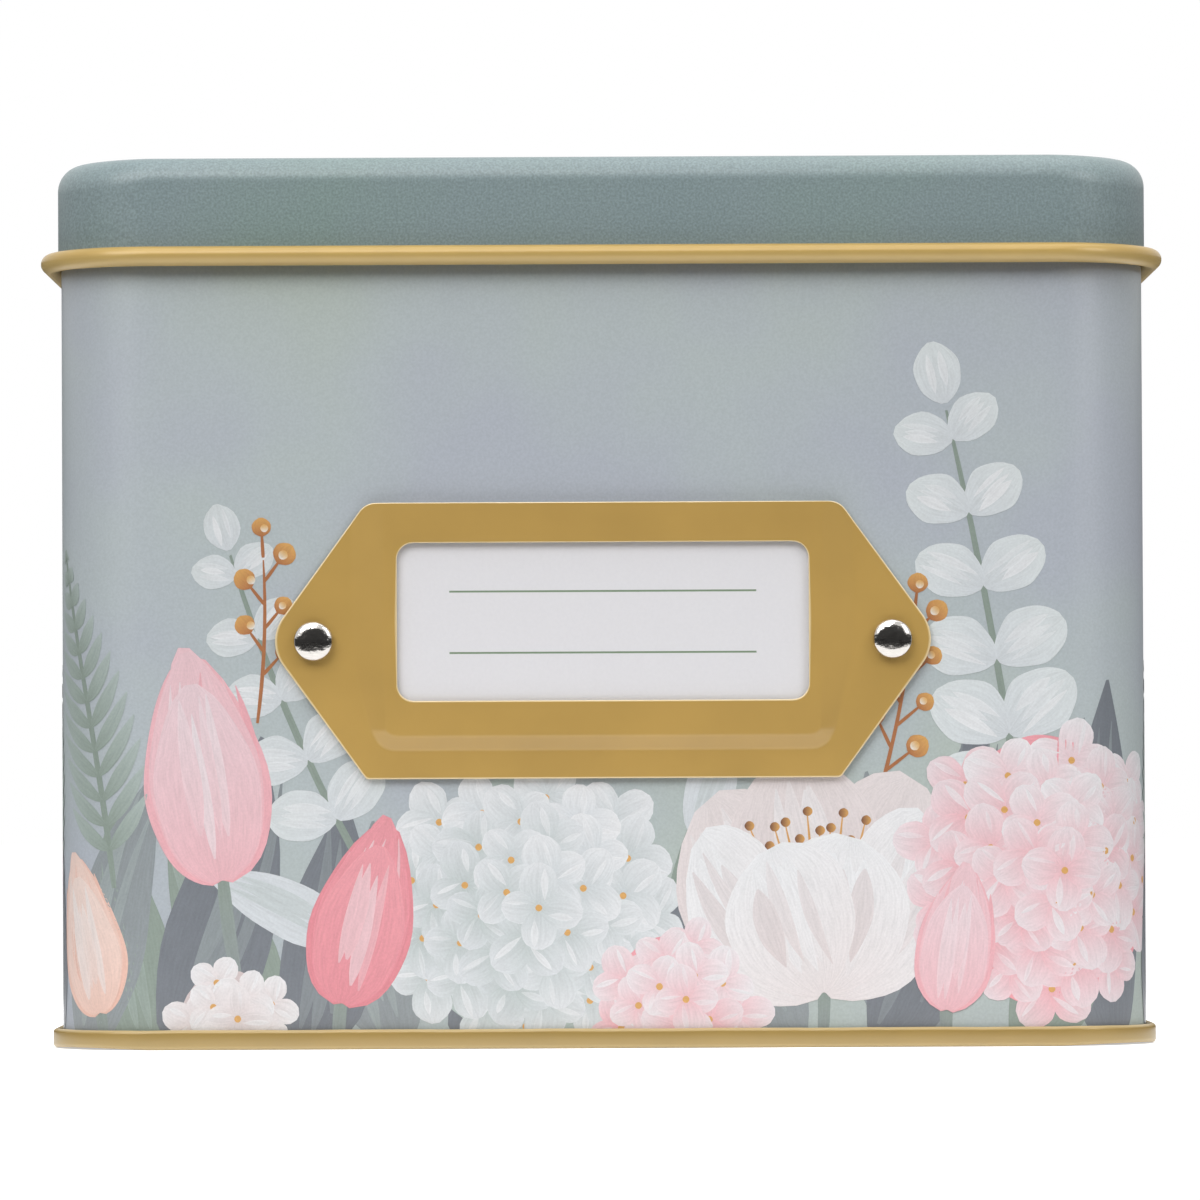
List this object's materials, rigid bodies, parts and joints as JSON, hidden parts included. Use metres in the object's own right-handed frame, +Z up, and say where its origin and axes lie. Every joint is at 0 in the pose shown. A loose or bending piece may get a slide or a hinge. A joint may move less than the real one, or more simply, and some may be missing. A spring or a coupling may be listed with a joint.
{
  "type": "card tin",
  "caption": "Upright tinplate card box with round corners, a hinged rolled-rim lid, a riveted label holder with a slide-in label, and tabbed dividers with cards inside.",
  "frame": {"origin": "middle of the foot's outline, on the surface that the tin stands on", "axes": "+Z up, the labelled front faces -Y, +X to the right as seen from the front"},
  "size_m": [0.1298, 0.0678, 0.102],
  "materials": {
    "sage_enamel": "printed satin lacquer on tinplate",
    "gold_enamel": "gold lacquer on tinplate",
    "lid_enamel": "printed satin lacquer on tinplate",
    "holder_enamel": "gloss gold enamel on pressed steel",
    "nickel": "bright nickel plate",
    "bright_wire": "drawn wire",
    "label_paper": "smooth white card",
    "card_stock": "uncoated ivory card",
    "divider_stock": "uncoated tinted card"
  },
  "bodies": {
    "tin": {"body_shell": "sage_enamel", "base_panel": "gold_enamel", "hinge_wire": "bright_wire", "label_holder": "holder_enamel", "rivet_left": "nickel", "rivet_right": "nickel"},
    "lid": {"lid_shell": "lid_enamel"},
    "label": {"label_card": "label_paper"},
    "cards_1": {"divider_1": "divider_stock", "prayer_card_1_1": "card_stock", "prayer_card_1_2": "card_stock", "prayer_card_1_3": "card_stock", "prayer_card_1_4": "card_stock", "prayer_card_1_5": "card_stock"},
    "cards_2": {"divider_2": "divider_stock", "prayer_card_2_1": "card_stock", "prayer_card_2_2": "card_stock", "prayer_card_2_3": "card_stock", "prayer_card_2_4": "card_stock", "prayer_card_2_5": "card_stock"},
    "cards_3": {"divider_3": "divider_stock", "prayer_card_3_1": "card_stock", "prayer_card_3_2": "card_stock", "prayer_card_3_3": "card_stock", "prayer_card_3_4": "card_stock", "prayer_card_3_5": "card_stock"},
    "cards_4": {"divider_4": "divider_stock", "prayer_card_4_1": "card_stock", "prayer_card_4_2": "card_stock", "prayer_card_4_3": "card_stock", "prayer_card_4_4": "card_stock", "prayer_card_4_5": "card_stock"},
    "cards_5": {"divider_5": "divider_stock", "prayer_card_5_1": "card_stock", "prayer_card_5_2": "card_stock", "prayer_card_5_3": "card_stock", "prayer_card_5_4": "card_stock", "prayer_card_5_5": "card_stock"},
    "cards_6": {"divider_6": "divider_stock", "prayer_card_6_1": "card_stock", "prayer_card_6_2": "card_stock", "prayer_card_6_3": "card_stock", "prayer_card_6_4": "card_stock", "prayer_card_6_5": "card_stock"}
  },
  "joints": [
    {"name": "lid_hinge", "type": "hinge", "parent": "tin", "child": "lid", "pos_m": [0, 0.03274, 0.0905], "axis": [-1, 0, 0], "range_deg": [0, 105]},
    {"name": "label_slide", "type": "slide", "parent": "tin", "child": "label", "axis": [0, 0, 1], "range_m": [0, 0.025]},
    {"name": "cards_1_tilt", "type": "hinge", "parent": "tin", "child": "cards_1", "pos_m": [0, -0.00256, 0.00283], "axis": [1, 0, 0], "range_deg": [0, 20]},
    {"name": "cards_2_tilt", "type": "hinge", "parent": "tin", "child": "cards_2", "pos_m": [0, 0.00195, 0.00283], "axis": [1, 0, 0], "range_deg": [0, 17]},
    {"name": "cards_3_tilt", "type": "hinge", "parent": "tin", "child": "cards_3", "pos_m": [0, 0.00646, 0.00283], "axis": [1, 0, 0], "range_deg": [0, 14]},
    {"name": "cards_4_tilt", "type": "hinge", "parent": "tin", "child": "cards_4", "pos_m": [0, 0.01098, 0.00283], "axis": [1, 0, 0], "range_deg": [0, 11]},
    {"name": "cards_5_tilt", "type": "hinge", "parent": "tin", "child": "cards_5", "pos_m": [0, 0.01549, 0.00283], "axis": [1, 0, 0], "range_deg": [0, 8]},
    {"name": "cards_6_tilt", "type": "hinge", "parent": "tin", "child": "cards_6", "pos_m": [0, 0.02001, 0.00283], "axis": [1, 0, 0], "range_deg": [0, 5]}
  ],
  "couplings": [
    {"joint": "cards_2_tilt", "follows": "cards_1_tilt", "ratio": 0.85},
    {"joint": "cards_3_tilt", "follows": "cards_1_tilt", "ratio": 0.7},
    {"joint": "cards_4_tilt", "follows": "cards_1_tilt", "ratio": 0.55},
    {"joint": "cards_5_tilt", "follows": "cards_1_tilt", "ratio": 0.4},
    {"joint": "cards_6_tilt", "follows": "cards_1_tilt", "ratio": 0.25}
  ]
}
